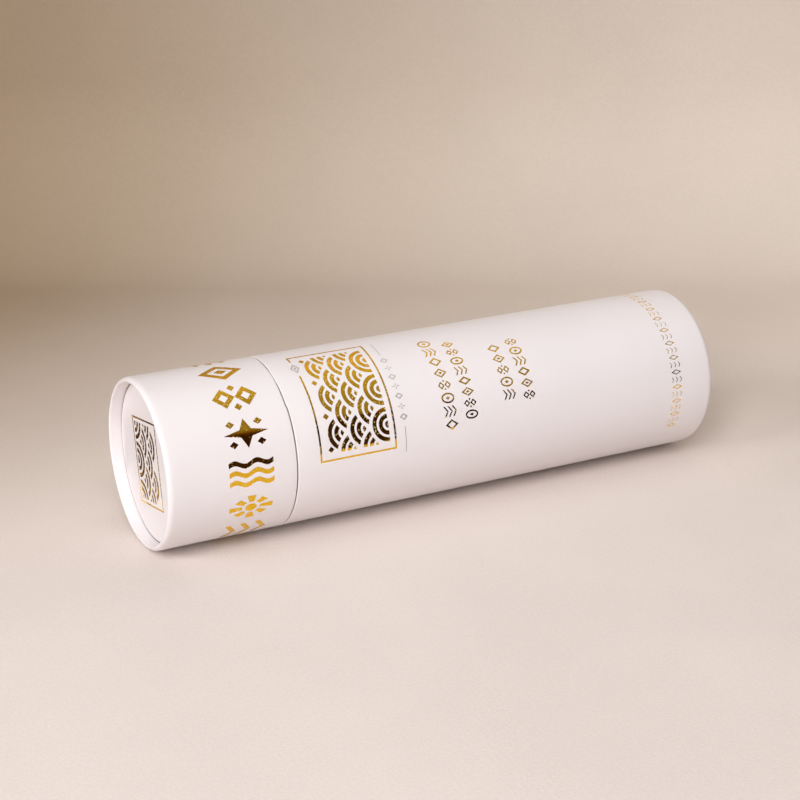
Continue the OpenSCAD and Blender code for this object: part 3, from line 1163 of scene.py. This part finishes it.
def sweep_material():
    """Matt studio paper, pale in front and tan at the back and the left, with a fine tooth; its painted
    shade darkens the tan to the left and up the wall.
    """
    material, g, shader = new_material("studio_paper", Roughness=0.9, Specular_IOR_Level=0.1)
    where = g.add("ShaderNodeTexCoord").outputs["Object"]
    turned_back = g.add("ShaderNodeMapping", {
        "Vector": where, "Rotation": (0, 0, SWEEP_TURN),
    }).outputs[0]
    parts = g.add("ShaderNodeSeparateXYZ", {"Vector": turned_back}).outputs
    # Painted shade: on the left the tan reaches further forward and darkens the floor there.
    painted_shade_reach_left = g.math("MAXIMUM", 0.0, g.math("SUBTRACT", -0.12, parts["X"]))
    back = g.spread(g.math("ADD", parts["Y"], g.math("MULTIPLY", painted_shade_reach_left, 0.8)), -0.16, 0.47)
    # Painted shade: the tan is painted much darker on the left than on the right.
    right = g.spread(parts["X"], -0.40, 0.30)
    tan = g.mix(right, (0.355, 0.258, 0.170, 1), (0.765, 0.672, 0.59, 1))
    pale = g.mix(back, (0.825, 0.74, 0.70, 1), tan)
    # Painted shade: the paper is painted darker up the cove and the wall.
    painted_shade_up_wall = g.spread(parts["Z"], 0.0, 0.30, 1.0, 0.80)
    grain = g.noise(where, 700, 4, 0.7)
    patch = g.noise(where, 9, 3, 0.5)
    shade = g.math("ADD", g.spread(grain, 0.3, 0.7, 0.96, 1.02), g.spread(patch, 0.3, 0.7, -0.02, 0.02))
    level = g.math("MULTIPLY", shade, painted_shade_up_wall)
    scaled = g.add("ShaderNodeVectorMath", {0: pale, "Scale": level}, operation="SCALE").outputs[0]
    g.feed(scaled, shader.inputs["Base Color"])
    bump(g, shader, grain, 0.25 * MM, 0.6)
    return material


def make_stage():
    """One sheet that lies flat, curves up behind the tube and stands as a wall."""
    profile = [(SWEEP_FRONT, 0.0), (SWEEP_BACK, 0.0)]
    for i in range(1, 17):
        a = math.pi / 2 * i / 16
        profile.append((SWEEP_BACK + COVE_R * math.sin(a), COVE_R * (1 - math.cos(a))))
    profile.append((SWEEP_BACK + COVE_R, WALL_TOP))
    mesh = bmesh.new()
    rows = []
    for side in (-SWEEP_HALF, SWEEP_HALF):
        rows.append([mesh.verts.new(AHEAD * t + ASIDE * side + Vector((0, 0, z))) for t, z in profile])
    for i in range(len(profile) - 1):
        mesh.faces.new((rows[0][i], rows[1][i], rows[1][i + 1], rows[0][i + 1]))
    data = bpy.data.meshes.new("sweep")
    mesh.to_mesh(data)
    mesh.free()
    for polygon in data.polygons:
        polygon.use_smooth = True
    data.materials.append(sweep_material())
    sweep = bpy.data.objects.new("sweep", data)
    bpy.context.scene.collection.objects.link(sweep)


def make_card(name, middle, half, bottom, top):
    """A dark card, seen by glossy surfaces alone, that fades out at its bottom and its top: a painted
    reflection, dark below and brown near its top.
    """
    mesh = bpy.data.meshes.new(name)
    corners = [AHEAD * middle[0] + ASIDE * (middle[1] + side) + Vector((0, 0, z))
               for side, z in ((-half, bottom[0]), (half, bottom[0]), (half, top[1]), (-half, top[1]))]
    mesh.from_pydata(corners, [], [(0, 1, 2, 3)])
    material, g, shader = new_material(name, Roughness=1.0, Specular_IOR_Level=0.0)
    where = g.add("ShaderNodeTexCoord").outputs["Object"]
    height = g.add("ShaderNodeSeparateXYZ", {"Vector": where}).outputs["Z"]
    # Painted reflection: dark brown below, turning reddish brown near the top, seen only in glossy
    # surfaces.
    dark = g.mix(g.noise(where, 12.0), (0.075, 0.040, 0.024, 1), (0.045, 0.025, 0.014, 1))
    shade = g.mix(g.spread(height, top[0] * 0.9, top[1]), dark, (0.42, 0.17, 0.06, 1))
    g.feed(shade, shader.inputs["Base Color"])
    g.feed(g.math("MULTIPLY", g.spread(height, *bottom), g.spread(height, *top, 1.0, 0.0)),
           shader.inputs["Alpha"])
    mesh.materials.append(material)
    glossy_only(bpy.data.objects.new(name, mesh))


def make_arch():
    """A pale glowing arch over the tube, seen by glossy surfaces alone, brightest overhead: it is no lamp
    and paints reflections into the foil and the paper.
    """
    mesh = bmesh.new()
    glow = mesh.verts.layers.float.new("glow")
    rows = []
    for angle, level in ARCH:
        a = math.radians(angle)
        row = []
        for side in (-ARCH_HALF, ARCH_HALF):
            place = AHEAD * (-ARCH_R * math.cos(a)) + ASIDE * side + Vector((0, 0, ARCH_R * math.sin(a)))
            row.append(mesh.verts.new(place))
            row[-1][glow] = level
        rows.append(row)
    for here, there in zip(rows, rows[1:]):
        mesh.faces.new((here[0], here[1], there[1], there[0]))
    data = bpy.data.meshes.new("arch")
    mesh.to_mesh(data)
    mesh.free()
    material, g, shader = new_material("arch", Roughness=1.0, Specular_IOR_Level=0.0)
    shader.inputs["Base Color"].default_value = (0, 0, 0, 1)
    # Painted reflection: the arch glows but is no lamp.
    shader.inputs["Emission Strength"].default_value = 1.0
    level = g.add("ShaderNodeAttribute", attribute_name="glow").outputs["Fac"]
    tone = g.add("ShaderNodeVectorMath", {0: ARCH_TONE[:3], "Scale": level}, operation="SCALE").outputs[0]
    g.feed(tone, shader.inputs["Emission Color"])
    data.materials.append(material)
    glossy_only(bpy.data.objects.new("arch", data))


def glossy_only(thing):
    """Puts a card or arch on the stage so that only glossy surfaces see it, as a painted reflection."""
    bpy.context.scene.collection.objects.link(thing)
    thing.visible_camera = False
    thing.visible_diffuse = False
    thing.visible_shadow = False


def make_light():
    """A weak even surround and soft square lamps that look at the tube."""
    world = bpy.data.worlds.new("studio")
    bpy.context.scene.world = world
    world.use_nodes = True
    background = world.node_tree.nodes["Background"]
    background.inputs["Color"].default_value = SURROUND
    background.inputs["Strength"].default_value = SURROUND_LEVEL
    for name, (place, size, watts, colour) in LAMPS.items():
        data = bpy.data.lights.new(name, "AREA")
        data.shape = "SQUARE"
        data.size = size
        data.energy = watts
        data.color = colour
        lamp = bpy.data.objects.new(name, data)
        bpy.context.scene.collection.objects.link(lamp)
        lamp.location = place
        lamp.rotation_euler = (Vector((0, 0, AXIS_Z)) - Vector(place)).to_track_quat("-Z", "Y").to_euler()
        lamp.visible_glossy = False


def make_camera():
    data = bpy.data.cameras.new("camera")
    data.lens = LENS
    data.sensor_width = 36
    data.clip_start = 0.01
    data.clip_end = 100
    camera = bpy.data.objects.new("camera", data)
    bpy.context.scene.collection.objects.link(camera)
    camera.location = CAMERA_AT
    camera.rotation_euler = CAMERA_WAY.to_track_quat("-Z", "Y").to_euler()
    bpy.context.scene.camera = camera


make_camera()
make_papers()
dress_solids()
make_body_print()
make_lid_print()
make_stage()
for card, values in CARDS.items():
    make_card(card, *values)
make_arch()
make_light()
bpy.context.scene.view_settings.view_transform = "Standard"
